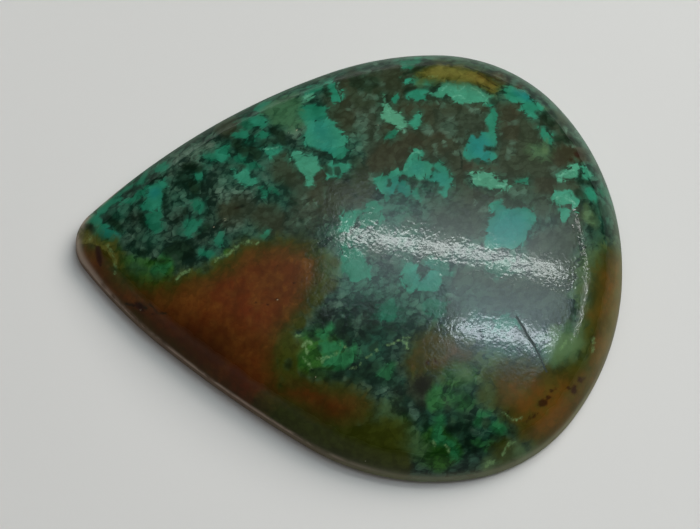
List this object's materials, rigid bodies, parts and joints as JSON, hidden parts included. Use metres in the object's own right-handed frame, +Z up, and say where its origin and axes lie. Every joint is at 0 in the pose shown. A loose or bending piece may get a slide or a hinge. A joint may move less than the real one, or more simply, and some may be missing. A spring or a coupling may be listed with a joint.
{
  "type": "turquoise cabochon",
  "caption": "Pear-shaped polished stone with a low dome, a rounded shoulder and a flat base, mottled teal, green and brown.",
  "frame": {"origin": "on the flat base, under the middle of the stone's bounding box", "axes": "+X along the stone from the pointed tip to the round end, +Y across it, +Z up through the dome"},
  "size_m": [0.0422, 0.0344, 0.0058],
  "materials": {
    "turquoise": "polished, mottled teal and green in brown rock"
  },
  "bodies": {
    "root": {"cabochon": "turquoise"}
  },
  "joints": []
}
